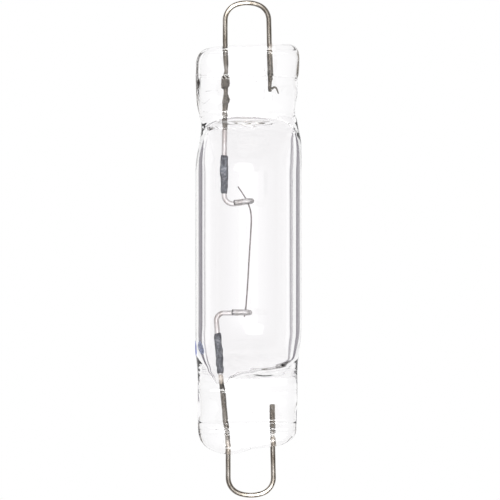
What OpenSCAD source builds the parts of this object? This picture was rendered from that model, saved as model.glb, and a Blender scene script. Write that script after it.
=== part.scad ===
// Double loop ended tubular lamp: pinched glass tube, wire loops, inner leads and a coiled filament.
// The lamp's long axis lies along Y, the flat of its pinches faces up along Z, and the tube rests on Z = 0.

/* [Envelope] */
// Length over both wire loops
overall_l = 44.5; // [44:0.1:46]
// Outer diameter of the glass tube
tube_d = 9.5; // [9.3:0.1:10]
// Wall of the glass tube
wall_t = 0.75; // [0.65:0.05:0.8]
// Thickness of the flat pinches
pinch_t = 2.5; // [2.3:0.1:2.8]
// How far each wire loop stands out of its pinch
loop_out = 3.9; // [3.7:0.1:4.2]

/* [Wire loops] */
// Diameter of the loop wire
wire_d = 0.45; // [0.4:0.01:0.5]
// Spacing of the upper loop's legs, centre to centre
upper_loop_w = 3.9; // [3.7:0.05:4]
// Spacing of the lower loop's legs, centre to centre
lower_loop_w = 4.05; // [3.8:0.05:4.2]
// Bend radius of the loop's two corners
loop_r = 1.48; // [1.3:0.02:1.6]
// Length of each loop's short leg inside the glass
short_leg_l = 4.3; // [4:0.1:4.6]

/* [Inner leads] */
// Diameter of the inner lead wire
lead_d = 0.46; // [0.42:0.01:0.5]
// Distance between the two lead arms that hold the filament
arm_spacing = 9.93; // [9.5:0.05:10.5]
// Bend radius of the upper lead
upper_bend_r = 0.8; // [0.6:0.05:1]
// Bend radius of the lower lead
lower_bend_r = 0.68; // [0.5:0.02:0.9]
// Length of the folded back tail of each arm
tail_l = 1.3; // [1.1:0.05:1.5]

/* [Filament] */
// Outer diameter of the filament coil
coil_d = 0.16; // [0.14:0.01:0.18]
// Diameter of the filament wire
filament_d = 0.05; // [0.04:0.005:0.06]
// Turns of the filament coil
coil_turns = 96; // [80:1:100]

/* [Coatings] */
// Thickness of the getter coat on the inner leads, at its thinnest
coat_t = 0.07; // [0.06:0.01:0.1]
// Diameter of the ink mark on the tube
mark_d = 1.4; // [1.1:0.05:1.5]

/* [Hidden] */

tube_r = tube_d / 2;
bore_r = tube_r - wall_t;
// The tube rests on a narrow flat along its underside, this many degrees wide to each side of the lowest line
rest_flat_a = 7.5;
axis_z = tube_r * cos(rest_flat_a);
end_y = overall_l / 2;
glass_y = end_y - loop_out;
// Sides of the glass sections: its corners fall on both edges of the rest flat
glass_n = 360 / rest_flat_a;

// The loops sit a little off the tube's axis, as bent
upper_loop_x = -0.134;
lower_loop_x = 0.205;
corner_a = 72;
short_leg_lean = 0.15;
lower_leg_more = 0.2;
wire_sides = 20;

// Rings of the glass from each end inwards: distance in, left and right reach as parts of the
// tube's radius, blend from pinch to tube thickness, thinning at the cut end, squareness
UPPER_RINGS = [
  [0.00, -0.367, 0.725, 0.000, 0.64, 3.2],
  [0.07, 0.066, 0.800, 0.000, 0.76, 3.2],
  [0.17, 0.367, 0.853, 0.000, 0.86, 3.2],
  [0.33, 0.706, 0.895, 0.000, 0.92, 3.2],
  [0.52, 0.838, 0.925, 0.000, 0.95, 3.2],
  [0.81, 0.913, 0.949, 0.000, 0.98, 3.2],
  [1.21, 0.964, 0.959, 0.000, 1.00, 3.2],
  [1.74, 0.991, 0.959, 0.000, 1.00, 3.2],
  [2.73, 0.998, 0.947, 0.000, 1.00, 3.2],
  [3.09, 0.996, 0.925, 0.045, 1.00, 3.2],
  [4.25, 0.989, 0.934, 0.045, 1.00, 3.2],
  [5.32, 0.977, 0.898, 0.045, 1.00, 3.2],
  [5.95, 0.959, 0.879, 0.045, 1.00, 3.2],
  [6.40, 0.932, 0.883, 0.045, 1.00, 3.2],
  [6.75, 0.910, 0.908, 0.060, 1.00, 3.2],
  [7.16, 0.891, 0.927, 0.126, 1.00, 2.8],
  [7.60, 0.889, 0.944, 0.215, 1.00, 2.55],
  [8.09, 0.900, 0.966, 0.331, 1.00, 2.35],
  [8.72, 0.917, 0.992, 0.495, 1.00, 2.2],
  [9.35, 0.945, 0.998, 0.659, 1.00, 2.1],
  [10.06, 0.974, 1.000, 0.823, 1.00, 2.03],
  [10.78, 0.992, 1.000, 0.946, 1.00, 2],
  [11.58, 1.000, 1.000, 1.000, 1.00, 2]
];
LOWER_RINGS = [
  [0.00, 0.446, -0.311, 0.000, 0.60, 3.2],
  [0.13, 0.546, -0.160, 0.000, 0.74, 3.2],
  [0.30, 0.659, -0.047, 0.000, 0.82, 3.2],
  [0.49, 0.744, 0.104, 0.000, 0.86, 3.2],
  [0.72, 0.815, 0.537, 0.000, 0.91, 3.2],
  [0.91, 0.853, 0.678, 0.000, 0.94, 3.2],
  [1.19, 0.898, 0.772, 0.000, 0.97, 3.2],
  [1.55, 0.930, 0.853, 0.000, 0.99, 3.2],
  [2.04, 0.949, 0.898, 0.000, 1.00, 3.2],
  [2.75, 0.955, 0.906, 0.000, 1.00, 3.2],
  [3.11, 0.955, 0.908, 0.045, 1.00, 3.2],
  [4.45, 0.955, 0.919, 0.045, 1.00, 3.2],
  [5.53, 0.955, 0.923, 0.045, 1.00, 3.2],
  [6.15, 0.955, 0.923, 0.045, 1.00, 3.2],
  [6.69, 0.957, 0.921, 0.071, 1.00, 3.2],
  [7.23, 0.959, 0.921, 0.158, 1.00, 2.8],
  [7.76, 0.966, 0.925, 0.266, 1.00, 2.55],
  [8.30, 0.979, 0.932, 0.391, 1.00, 2.35],
  [8.84, 0.992, 0.945, 0.523, 1.00, 2.2],
  [9.37, 1.000, 0.960, 0.652, 1.00, 2.12],
  [10.00, 1.000, 0.979, 0.792, 1.00, 2.05],
  [10.81, 1.000, 0.994, 0.931, 1.00, 2.01],
  [11.79, 1.000, 1.000, 1.000, 1.00, 2]
];
// Rings of the sealed cavity: distance in, left, right and upward reach as parts of the bore, squareness
UPPER_BORE = [
  [6.59, 0.399, 0.808, 0.015, 3],
  [6.73, 0.571, 0.894, 0.030, 3],
  [6.99, 0.711, 0.945, 0.088, 2.8],
  [7.40, 0.819, 0.965, 0.216, 2.6],
  [7.84, 0.880, 0.980, 0.326, 2.4],
  [8.38, 0.910, 0.990, 0.449, 2.25],
  [9.01, 0.940, 0.995, 0.598, 2.12],
  [9.72, 0.975, 1.000, 0.758, 2.05],
  [10.62, 0.996, 1.000, 0.919, 2],
  [11.60, 1.000, 1.000, 1.000, 2]
];
LOWER_BORE = [
  [6.42, 0.700, -0.480, 0.020, 2.6],
  [6.60, 0.725, -0.450, 0.050, 2.6],
  [6.90, 0.765, -0.400, 0.090, 2.6],
  [7.25, 0.810, -0.270, 0.145, 2.6],
  [7.55, 0.845, 0.080, 0.195, 2.6],
  [7.80, 0.865, 0.500, 0.245, 2.6],
  [8.08, 0.885, 0.790, 0.315, 2.5],
  [8.61, 0.935, 0.905, 0.455, 2.25],
  [9.28, 0.976, 0.940, 0.640, 2.12],
  [10.00, 0.996, 0.968, 0.800, 2.05],
  [10.89, 1.000, 0.992, 0.935, 2],
  [11.79, 1.000, 1.000, 1.000, 2]
];
// Where the outer wires end and the inner leads begin, measured from each end of the glass
upper_weld_in = 7.77;
lower_weld_in = 7.27;
upper_weld_y = glass_y - upper_weld_in;
lower_weld_y = -glass_y + lower_weld_in;
upper_weld_x = upper_loop_x - upper_loop_w / 2;
lower_tilt = 5.5;
lower_tilt_l = 6.4;
lower_weld_x = lower_loop_x - lower_loop_w / 2 - lower_tilt_l * sin(lower_tilt);
// Run of the knee where the lower loop's long leg starts to lean, each way from the corner
knee_run = 0.55;

// The ink mark's place: distance in from the lower end of the glass, lift above the axis, bow of its face
mark_in = 9.45;
mark_lift = 0.15;
mark_bow = 0.33;
mark_depth = 0.3;

// Arms of the inner leads
arm_mid_y = -0.76;
upper_arm_y = arm_mid_y + arm_spacing / 2;
lower_arm_y = arm_mid_y - arm_spacing / 2;
upper_arm_tilt = 7.5;
upper_lean = 1;
arm_gap = coil_d + 0.01;
fold_r = (lead_d + arm_gap) / 2;
upper_fold_x = -0.027;
lower_fold_x = -0.206;
roll = 82;

// The upper lead hangs from just below its weld, and runs straight to its bend
lead_top_y = upper_weld_y - lead_d / 2 * sin(upper_lean);
upper_drop = lead_top_y - upper_arm_y - upper_bend_r * (cos(upper_arm_tilt) + sin(upper_lean));
upper_arm_l = (upper_fold_x - upper_weld_x - upper_bend_r * (sin(upper_arm_tilt) + cos(upper_lean))
  + upper_drop * tan(upper_lean)) / (cos(upper_arm_tilt) - tan(upper_lean) * sin(upper_arm_tilt));
upper_run = (upper_drop + upper_arm_l * sin(upper_arm_tilt)) / cos(upper_lean);
// Straight run of the lower lead, which leans outwards, and its level arm
lower_run = (lower_arm_y - lower_weld_y - lower_bend_r * cos(lower_tilt)) / cos(lower_tilt);
lower_arm_l = lower_fold_x - lower_weld_x + lower_run * sin(lower_tilt) - lower_bend_r * (1 - sin(lower_tilt));

// The filament's line between the arms and its free ends beyond them
filament_z = axis_z + fold_r;
FILAMENT_LINE = [
  [lower_arm_y - 0.33, lower_fold_x - 0.16],
  [lower_arm_y, lower_fold_x - 0.10],
  [lower_arm_y + 0.063 * arm_spacing, -0.224],
  [lower_arm_y + 0.18 * arm_spacing, -0.13],
  [lower_arm_y + 0.30 * arm_spacing, -0.054],
  [lower_arm_y + 0.44 * arm_spacing, 0.03],
  [lower_arm_y + 0.57 * arm_spacing, 0.107],
  [lower_arm_y + 0.70 * arm_spacing, 0.19],
  [lower_arm_y + 0.80 * arm_spacing, 0.245],
  [lower_arm_y + 0.87 * arm_spacing, 0.25],
  [lower_arm_y + 0.92 * arm_spacing, 0.19],
  [lower_arm_y + 0.96 * arm_spacing, 0.07],
  [upper_arm_y, upper_fold_x - 0.06],
  [upper_arm_y + 0.30, upper_fold_x - 0.21],
  [upper_arm_y + 0.85, upper_fold_x - 0.56],
  [upper_arm_y + 1.37, upper_fold_x - 0.91]
];
coil_sides = 4;
coil_steps = 8;

function power(v, e) = sign(v) * pow(abs(v), e);

// One closed section across the Y axis: centre, half widths, squareness and number of sides
function section(y, left, right, half, n, sides, z) =
  let (cx = (right - left) / 2, ax = (left + right) / 2)
  [for (i = [0 : sides - 1])
    let (a = i * 360 / sides)
    [cx + ax * power(cos(a), 2 / n), y, max(0, z + half * power(sin(a), 2 / n))]];

// Faces of a stack of closed sections that share one number of points
function stack_faces(rings, sides) = concat(
  [[for (i = [sides - 1 : -1 : 0]) i]],
  [for (k = [0 : rings - 2]) for (i = [0 : sides - 1]) for (half = [0, 1])
    let (j = (i + 1) % sides, low = k * sides, high = low + sides)
    half == 0 ? [low + i, low + j, high + j] : [low + i, high + j, high + i]],
  [[for (i = [0 : sides - 1]) (rings - 1) * sides + i]]);

module stack(rings, sides) {
  polyhedron(points = [for (ring = rings) each ring], faces = stack_faces(len(rings), sides), convexity = 6);
}

function glass_ring(row, y) =
  section(y, row[1] * tube_r, row[2] * tube_r, row[3] * tube_r + (1 - row[3]) * row[4] * pinch_t / 2,
          row[5], glass_n, axis_z);

function bore_ring(row, y) =
  section(y, row[1] * bore_r, row[2] * bore_r, row[3] * bore_r, row[4], 32, axis_z);

// A wire laid step by step from the origin towards +Y: [length] is straight, [radius, angle, roll] a bend
// to the left after rolling about its own line
module wire(steps, d, i = 0) {
  if (i < len(steps)) {
    if (len(steps[i]) == 1) {
      rotate([-90, 0, 0]) cylinder(d = d, h = steps[i][0], $fn = 32);
      translate([0, steps[i][0], 0]) wire(steps, d, i + 1);
    } else {
      rotate([0, steps[i][2], 0]) translate([-steps[i][0], 0, 0]) {
        rotate_extrude(angle = steps[i][1], $fn = 96) translate([steps[i][0], 0]) circle(d = d, $fn = 32);
        rotate([0, 0, steps[i][1]]) translate([steps[i][0], 0, 0]) rotate([0, -steps[i][2], 0]) wire(steps, d, i + 1);
      }
    }
  }
}

// The line of a loop's wire: down from the arch on both legs, the arch being corner, shallow crown, corner
function arc(cx, cy, r, from, to, n) = [for (k = [0 : n]) [cx + r * cos(from + (to - from) * k / n),
  cy + r * sin(from + (to - from) * k / n)]];
function crown_r(w) = (w / 2 - loop_r * (1 - cos(corner_a))) / cos(corner_a);
function arch_h(w) = loop_r * sin(corner_a) + crown_r(w) * (1 - sin(corner_a));
function arch(w) = concat(
  arc(loop_r - w / 2, 0, loop_r, 180, 180 - corner_a, 8),
  [for (k = [1 : 3]) arc(0, (loop_r - crown_r(w)) * sin(corner_a), crown_r(w), 180 - corner_a, corner_a, 4)[k]],
  arc(w / 2 - loop_r, 0, loop_r, corner_a, 0, 8));

// A round wire along a line of points in the plane of the pinches
function ring_at(line, k, d) =
  let (
    last = len(line) - 1,
    before = line[k] - line[max(0, k - 1)],
    after = line[min(last, k + 1)] - line[k],
    t0 = (k == 0 ? after : before / norm(before)) + (k == last ? before : after / norm(after)),
    t = t0 / norm(t0)
  )
  [for (i = [0 : wire_sides - 1])
    let (a = (i + 0.5) * 360 / wire_sides, r = d / 2 / cos(180 / wire_sides))
    [line[k].x + r * cos(a) * t.y, line[k].y - r * cos(a) * t.x, r * sin(a)]];

module bent_wire(line, d) {
  stack([for (k = [0 : len(line) - 1]) ring_at(line, k, d)], wire_sides);
}

module upper_loop_wire() {
  leg_top = end_y - wire_d / 2 - arch_h(upper_loop_w);
  translate([0, 0, axis_z])
    bent_wire(concat(
      [[upper_weld_x, upper_weld_y]],
      [for (p = arch(upper_loop_w)) [upper_loop_x + p.x, leg_top + p.y]],
      [[upper_loop_x + upper_loop_w / 2 + short_leg_lean, glass_y - short_leg_l]]
    ), wire_d);
}

module lower_loop_wire() {
  leg_low = -end_y + wire_d / 2 + arch_h(lower_loop_w);
  knee_y = lower_weld_y - lower_tilt_l * cos(lower_tilt);
  leg_x = lower_loop_x - lower_loop_w / 2;
  translate([0, 0, axis_z])
    bent_wire(concat(
      [[lower_weld_x, lower_weld_y], [leg_x - knee_run * tan(lower_tilt), knee_y + knee_run]],
      [[leg_x - knee_run * tan(lower_tilt / 2) / 3, knee_y], [leg_x, knee_y - knee_run]],
      [for (p = arch(lower_loop_w)) [lower_loop_x + p.x, leg_low - p.y]],
      [[lower_loop_x + lower_loop_w / 2 - short_leg_lean, -glass_y + short_leg_l + lower_leg_more]]
    ), wire_d);
}

module glass_envelope() {
  color([0.9, 0.93, 0.96, 0.4])
    difference() {
      stack(concat(
        [for (row = LOWER_RINGS) glass_ring(row, -glass_y + row[0])],
        [for (k = [len(UPPER_RINGS) - 1 : -1 : 0]) glass_ring(UPPER_RINGS[k], glass_y - UPPER_RINGS[k][0])]
      ), glass_n);
      stack(concat(
        [for (row = LOWER_BORE) bore_ring(row, -glass_y + row[0])],
        [for (k = [len(UPPER_BORE) - 1 : -1 : 0]) bore_ring(UPPER_BORE[k], glass_y - UPPER_BORE[k][0])]
      ), 32);
      upper_loop_wire();
      lower_loop_wire();
      mark_solid();
    }
}

module upper_loop() {
  color([0.52, 0.46, 0.43]) upper_loop_wire();
}

module lower_loop() {
  color([0.52, 0.46, 0.43]) lower_loop_wire();
}

module upper_lead_wire() {
  translate([upper_weld_x, lead_top_y, axis_z]) rotate([0, 0, 180 - upper_lean])
    wire([[upper_run], [upper_bend_r, 90 + upper_arm_tilt + upper_lean, 0], [upper_arm_l],
      [fold_r, 180, roll], [tail_l]], lead_d);
}

module lower_lead_wire() {
  translate([lower_weld_x, lower_weld_y, axis_z]) rotate([0, 0, lower_tilt])
    wire([[lower_run], [lower_bend_r, 90 + lower_tilt, 180], [lower_arm_l], [fold_r, 180, roll], [tail_l]], lead_d);
}

module upper_lead() {
  color([0.74, 0.7, 0.72]) upper_lead_wire();
}

module lower_lead() {
  color([0.74, 0.7, 0.72]) lower_lead_wire();
}

// A coat ring: distance along the lead, sideways shift, reach beyond the thinnest coat
function coat_ring(row) =
  let (r = lead_d / 2 + coat_t + row[2])
  [for (i = [0 : 15])
    let (a = (i + 0.5) * 22.5, k = 1 + 0.03 * sin(3 * a + 200 * row[0]))
    [row[1] + r * k * cos(a), row[0], 0.3 * row[1] + r * k * sin(a)]];

UPPER_COAT = [[2.22, 0.00, -0.02], [2.34, 0.01, 0.02], [2.6, 0.00, 0.035], [2.95, -0.01, 0.04], [3.25, 0.01, 0.07],
  [3.55, 0.02, 0.09], [3.85, 0.01, 0.085], [4.15, -0.01, 0.06], [4.5, 0.00, 0.035], [4.9, -0.01, 0.035],
  [5.2, 0.01, 0.03], [5.45, 0.00, 0.01], [5.58, 0.00, -0.025]];
LOWER_COAT = [[0.24, 0.00, -0.025], [0.34, 0.00, -0.005], [0.65, 0.01, 0.00], [1.0, -0.01, 0.01], [1.35, 0.01, 0.02],
  [1.7, -0.01, 0.02], [2.05, 0.01, 0.035], [2.4, 0.00, 0.025], [2.75, -0.01, 0.01], [3.1, 0.01, 0.02],
  [3.4, 0.02, 0.03], [3.52, 0.01, 0.005], [3.6, 0.00, -0.025]];

module upper_getter() {
  color([0.45, 0.48, 0.53])
    difference() {
      translate([upper_weld_x, lead_top_y, axis_z]) rotate([0, 0, 180 - upper_lean])
        stack([for (row = UPPER_COAT) coat_ring(row)], 16);
      upper_lead_wire();
    }
}

module lower_getter() {
  color([0.45, 0.48, 0.53])
    difference() {
      translate([lower_weld_x, lower_weld_y, axis_z]) rotate([0, 0, lower_tilt])
        stack([for (row = LOWER_COAT) coat_ring(row)], 16);
      lower_lead_wire();
    }
}

// The filament's coil laid on its line, thinning to the plain wire at both free ends
function coil_ring(s, low, span) =
  let (
    y = low + s * span,
    slope = (lookup(y + 0.05, FILAMENT_LINE) - lookup(y - 0.05, FILAMENT_LINE)) / 0.1,
    a = s * coil_turns * 360,
    reach = coil_d / 2 - filament_d / 2,
    turn = reach * PI * 2 * coil_turns / span,
    out = [cos(a), 0, sin(a)],
    along = [slope - turn * sin(a), 1, turn * cos(a)],
    t = along / norm(along),
    b0 = cross(t, out),
    b = b0 / norm(b0),
    n = cross(b, t),
    p = [lookup(y, FILAMENT_LINE), y, filament_z] + reach * out
  )
  [for (i = [0 : coil_sides - 1])
    let (c = (i + 0.5) * 360 / coil_sides)
    p + filament_d / 2 * (n * cos(c) + b * sin(c))];

module filament() {
  low = FILAMENT_LINE[0][0];
  span = FILAMENT_LINE[len(FILAMENT_LINE) - 1][0] - low;
  count = coil_turns * coil_steps;
  color([0.6, 0.55, 0.56])
    stack([for (k = [0 : count]) coil_ring(k / count, low, span)], coil_sides);
}

// The ink mark: a round dab that stands a hair proud of the tube's left side near its lower end
module mark_solid() {
  mark_y = -glass_y + mark_in;
  intersection() {
    translate([-tube_r, mark_y, axis_z + mark_lift]) rotate([0, 90, 0])
      cylinder(d = mark_d, h = 2 * mark_depth, center = true, $fn = 48);
    translate([mark_bow, mark_y, axis_z]) rotate([0, 0, -1.2]) rotate([90, 0, 0])
      cylinder(r = tube_r + mark_bow, h = 3 * mark_d, center = true, $fn = 96);
  }
}

module ink_mark() {
  color([0.2, 0.28, 0.6]) mark_solid();
}

glass_envelope();
upper_loop();
lower_loop();
upper_lead();
lower_lead();
upper_getter();
lower_getter();
filament();
ink_mark();
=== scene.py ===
"""Looks of a double loop ended tubular lamp: a clear glass tube pinched flat at both ends, with a wire
loop out of each pinch, coated inner leads and a fine coiled filament. It lies on a pale floor."""

import math

import bpy
import numpy as np
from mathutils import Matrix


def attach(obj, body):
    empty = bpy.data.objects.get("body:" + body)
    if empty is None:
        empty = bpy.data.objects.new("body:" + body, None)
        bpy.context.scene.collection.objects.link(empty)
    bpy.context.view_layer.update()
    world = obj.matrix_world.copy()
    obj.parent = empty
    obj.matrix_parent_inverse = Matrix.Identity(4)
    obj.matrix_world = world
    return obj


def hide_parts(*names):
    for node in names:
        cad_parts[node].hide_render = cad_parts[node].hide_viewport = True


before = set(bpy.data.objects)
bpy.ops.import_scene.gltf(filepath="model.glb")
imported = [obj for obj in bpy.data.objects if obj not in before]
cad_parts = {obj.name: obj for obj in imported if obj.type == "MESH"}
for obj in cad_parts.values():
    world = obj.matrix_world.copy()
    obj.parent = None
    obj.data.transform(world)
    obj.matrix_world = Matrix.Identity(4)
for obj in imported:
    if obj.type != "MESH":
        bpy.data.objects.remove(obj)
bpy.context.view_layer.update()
MM = 0.001


# Glass envelope. One piece of clear soft glass tube, heated and pinched flat between jaws at both ends,
# which leaves a ridge across each pinch, melted corners and a sealed cavity. The wires are sealed into
# the flats, so the mesh is the outer skin and the cavity's skin, with no channels cut for them.
TUBE_R = 4.75
BORE_R = 4.0
AXIS_Z = 4.709
PINCH_HALF = 1.25
GLASS_Y = 18.35
TUBE_RINGS = 14
SKIN_RINGS, SKIN_SIDES = 190, 144
CAVITY_RINGS, CAVITY_SIDES = 90, 96

# The skin from each end inwards: distance from the end, left and right reach as parts of the tube's
# radius, blend from flat pinch to round tube, thinning at the cut end, squareness of the section
UPPER_SKIN = np.array([
    [0.00, -0.367, 0.725, 0.000, 0.640, 3.20], [0.07, 0.066, 0.800, 0.000, 0.760, 3.20],
    [0.17, 0.367, 0.853, 0.000, 0.860, 3.20], [0.33, 0.706, 0.895, 0.000, 0.920, 3.20],
    [0.52, 0.838, 0.925, 0.000, 0.950, 3.20], [0.81, 0.913, 0.949, 0.000, 0.980, 3.20],
    [1.21, 0.964, 0.959, 0.000, 1.000, 3.20], [1.74, 0.991, 0.959, 0.000, 1.000, 3.20],
    [2.73, 0.998, 0.947, 0.000, 1.000, 3.20], [3.09, 0.996, 0.925, 0.045, 1.000, 3.20],
    [4.25, 0.989, 0.934, 0.045, 1.000, 3.20], [5.32, 0.977, 0.898, 0.045, 1.000, 3.20],
    [5.95, 0.959, 0.879, 0.045, 1.000, 3.20], [6.40, 0.932, 0.883, 0.045, 1.000, 3.20],
    [6.75, 0.910, 0.908, 0.060, 1.000, 3.20], [7.16, 0.891, 0.927, 0.126, 1.000, 2.80],
    [7.60, 0.889, 0.944, 0.215, 1.000, 2.55], [8.09, 0.900, 0.966, 0.331, 1.000, 2.35],
    [8.72, 0.917, 0.992, 0.495, 1.000, 2.20], [9.35, 0.945, 0.998, 0.659, 1.000, 2.10],
    [10.06, 0.974, 1.000, 0.823, 1.000, 2.03], [10.78, 0.992, 1.000, 0.946, 1.000, 2.00],
    [11.58, 1.000, 1.000, 1.000, 1.000, 2.00]])
LOWER_SKIN = np.array([
    [0.00, 0.446, -0.311, 0.000, 0.600, 3.20], [0.13, 0.546, -0.160, 0.000, 0.740, 3.20],
    [0.30, 0.659, -0.047, 0.000, 0.820, 3.20], [0.49, 0.744, 0.104, 0.000, 0.860, 3.20],
    [0.72, 0.815, 0.537, 0.000, 0.910, 3.20], [0.91, 0.853, 0.678, 0.000, 0.940, 3.20],
    [1.19, 0.898, 0.772, 0.000, 0.970, 3.20], [1.55, 0.930, 0.853, 0.000, 0.990, 3.20],
    [2.04, 0.949, 0.898, 0.000, 1.000, 3.20], [2.75, 0.955, 0.906, 0.000, 1.000, 3.20],
    [3.11, 0.955, 0.908, 0.045, 1.000, 3.20], [4.45, 0.955, 0.919, 0.045, 1.000, 3.20],
    [5.53, 0.955, 0.923, 0.045, 1.000, 3.20], [6.15, 0.955, 0.923, 0.045, 1.000, 3.20],
    [6.69, 0.957, 0.921, 0.071, 1.000, 3.20], [7.23, 0.959, 0.921, 0.158, 1.000, 2.80],
    [7.76, 0.966, 0.925, 0.266, 1.000, 2.55], [8.30, 0.979, 0.932, 0.391, 1.000, 2.35],
    [8.84, 0.992, 0.945, 0.523, 1.000, 2.20], [9.37, 1.000, 0.960, 0.652, 1.000, 2.12],
    [10.00, 1.000, 0.979, 0.792, 1.000, 2.05], [10.81, 1.000, 0.994, 0.931, 1.000, 2.01],
    [11.79, 1.000, 1.000, 1.000, 1.000, 2.00]])
# The cavity: distance from the end, left, right and upward reach as parts of the bore, squareness
UPPER_CAVITY = np.array([
    [6.59, 0.399, 0.808, 0.015, 3.00], [6.73, 0.571, 0.894, 0.030, 3.00],
    [6.99, 0.711, 0.945, 0.088, 2.80], [7.40, 0.819, 0.965, 0.216, 2.60],
    [7.84, 0.880, 0.980, 0.326, 2.40], [8.38, 0.910, 0.990, 0.449, 2.25],
    [9.01, 0.940, 0.995, 0.598, 2.12], [9.72, 0.975, 1.000, 0.758, 2.05],
    [10.62, 0.996, 1.000, 0.919, 2.00], [11.60, 1.000, 1.000, 1.000, 2.00]])
LOWER_CAVITY = np.array([
    [6.42, 0.700, -0.480, 0.020, 2.60], [6.60, 0.725, -0.450, 0.050, 2.60],
    [6.90, 0.765, -0.400, 0.090, 2.60], [7.25, 0.810, -0.270, 0.145, 2.60],
    [7.55, 0.845, 0.080, 0.195, 2.60], [7.80, 0.865, 0.500, 0.245, 2.60],
    [8.08, 0.885, 0.790, 0.315, 2.50], [8.61, 0.935, 0.905, 0.455, 2.25],
    [9.28, 0.976, 0.940, 0.640, 2.12], [10.00, 0.996, 0.968, 0.800, 2.05],
    [10.89, 1.000, 0.992, 0.935, 2.00], [11.79, 1.000, 1.000, 1.000, 2.00]])


def ease_rows(rows, at):
    """The table's columns at the distances `at`: cubic pieces through the rows, whose slope at a row is the
    harmonic mean of its two neighbours' slopes, or nothing where they differ in sign, so nothing overshoots."""
    x, y = rows[:, 0], rows[:, 1:]
    step = np.diff(x)[:, None]
    rise = np.diff(y, axis=0) / step
    both = rise[:-1] * rise[1:]
    slope = np.zeros_like(y)
    slope[1:-1] = np.where(both > 0, 2 * both / np.where(both > 0, rise[:-1] + rise[1:], 1), 0)
    slope[0] = rise[0]
    k = np.clip(np.searchsorted(x, at, side="right") - 1, 0, len(x) - 2)
    t = ((at - x[k]) / step[k, 0])[:, None]
    return (y[k] * (1 + 2 * t) * (1 - t) ** 2 + slope[k] * step[k] * t * (1 - t) ** 2
            + y[k + 1] * t * t * (3 - 2 * t) + slope[k + 1] * step[k] * t * t * (t - 1))


def squircle_rings(y, left, right, half, square, sides, centre_z):
    """Rings across Y. Around each, the x and z are the cosine and sine of the angle raised to the power
    2 over the squareness, times the ring's half width and half thickness. None goes below the floor."""
    a = (np.arange(sides) + 0.5) * 2 * np.pi / sides
    power = (2 / square)[:, None]
    c, s = np.cos(a)[None], np.sin(a)[None]
    x = ((right - left) / 2)[:, None] + ((left + right) / 2)[:, None] * np.sign(c) * np.abs(c) ** power
    z = np.maximum(centre_z + half[:, None] * np.sign(s) * np.abs(s) ** power, 0)
    return np.stack([x, np.repeat(y[:, None], sides, 1), z], -1)


def ring_faces(count, sides, first, inward):
    """Quads between neighbouring rings and one cap at each end, numbered from `first`."""
    k, i = np.meshgrid(np.arange(count - 1), np.arange(sides), indexing="ij")
    j = (i + 1) % sides
    quads = first + np.stack([k * sides + i, (k + 1) * sides + i, (k + 1) * sides + j, k * sides + j], -1)
    quads = quads.reshape(-1, 4)
    caps = [first + np.arange(sides), first + (count - 1) * sides + np.arange(sides)[::-1]]
    if inward:
        quads, caps = quads[:, ::-1], [cap[::-1] for cap in caps]
    return quads.tolist() + [cap.tolist() for cap in caps]


def mesh_piece(name, stacks, material, node, inward=(), tones=None):
    """An object of ring stacks, in millimetres, that stands for a CAD node and takes its slot's finish.
    The tones are kept as an attribute of its vertices, for a material to read."""
    points, faces = [], []
    for number, stack in enumerate(stacks):
        first = sum(len(p) for p in points)
        faces += ring_faces(stack.shape[0], stack.shape[1], first, number in inward)
        points.append(stack.reshape(-1, 3))
    mesh = bpy.data.meshes.new(name)
    mesh.from_pydata((np.concatenate(points) * MM).tolist(), [], faces)
    mesh.polygons.foreach_set("use_smooth", np.ones(len(mesh.polygons), bool))
    mesh.materials.append(material)
    if tones is not None:
        tone = mesh.attributes.new("tone", "FLOAT", "POINT")
        tone.data.foreach_set("value", np.ravel(tones).astype(np.float32))
    mesh.update()
    piece = bpy.data.objects.new(name, mesh)
    bpy.context.scene.collection.objects.link(piece)
    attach(piece, "root")
    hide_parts(node)


def smooth_step(v, low, high):
    """0 below low, 1 above high, and 3t squared less 2t cubed between them."""
    t = np.clip((v - low) / (high - low), 0, 1)
    return t * t * (3 - 2 * t)


def bell(v, centre, width):
    """The power of e of minus the square of v less the centre, over the width."""
    return np.exp(-((v - centre) / width) ** 2)


def envelope_rings(upper, lower, count, sides, skin):
    """Rings from the lower end to the upper end, of the skin or else of the cavity: `count` in each shaped
    end, closest together at its outer end, and a few across the plain tube between them."""
    ends = []
    for rows in (lower, upper):
        near = rows[0, 0] + (rows[-1, 0] - rows[0, 0]) * np.linspace(0, 1, count) ** 1.25
        ends.append((near, ease_rows(rows, near)))
    middle = np.linspace(-GLASS_Y + lower[-1, 0], GLASS_Y - upper[-1, 0], TUBE_RINGS)[1:-1]
    y = np.concatenate([-GLASS_Y + ends[0][0], middle, (GLASS_Y - ends[1][0])[::-1]])
    plain = np.repeat(lower[-1:, 1:], len(middle), 0)
    cols = np.concatenate([ends[0][1], plain, ends[1][1][::-1]])
    if skin:
        left, right, blend, thin, square = cols.T
        half = blend * TUBE_R + (1 - blend) * thin * PINCH_HALF
        return squircle_rings(y, left * TUBE_R, right * TUBE_R, half, square, sides, AXIS_Z)
    left, right, up, square = cols.T
    return squircle_rings(y, left * BORE_R, right * BORE_R, up * BORE_R, square, sides, AXIS_Z)


# Jaw marks: Y, height, half width of ridges and grooves right across a pinch, and how far they droop
# towards the tube at its sides
JAW_LINES = np.array([
    [17.60, 0.045, 0.10, 0.0], [15.38, -0.085, 0.07, 0.1], [12.12, 0.045, 0.10, 0.0],
    [11.78, -0.120, 0.13, 1.3], [11.20, 0.040, 0.16, 0.7], [10.72, -0.060, 0.16, 0.5],
    [-12.72, 0.045, 0.10, 0.0], [-16.04, 0.035, 0.07, 0.0], [-16.18, -0.020, 0.08, 0.0],
    [-16.42, 0.045, 0.08, 0.0]])
JAW_SIDE_X = 4.2
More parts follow.
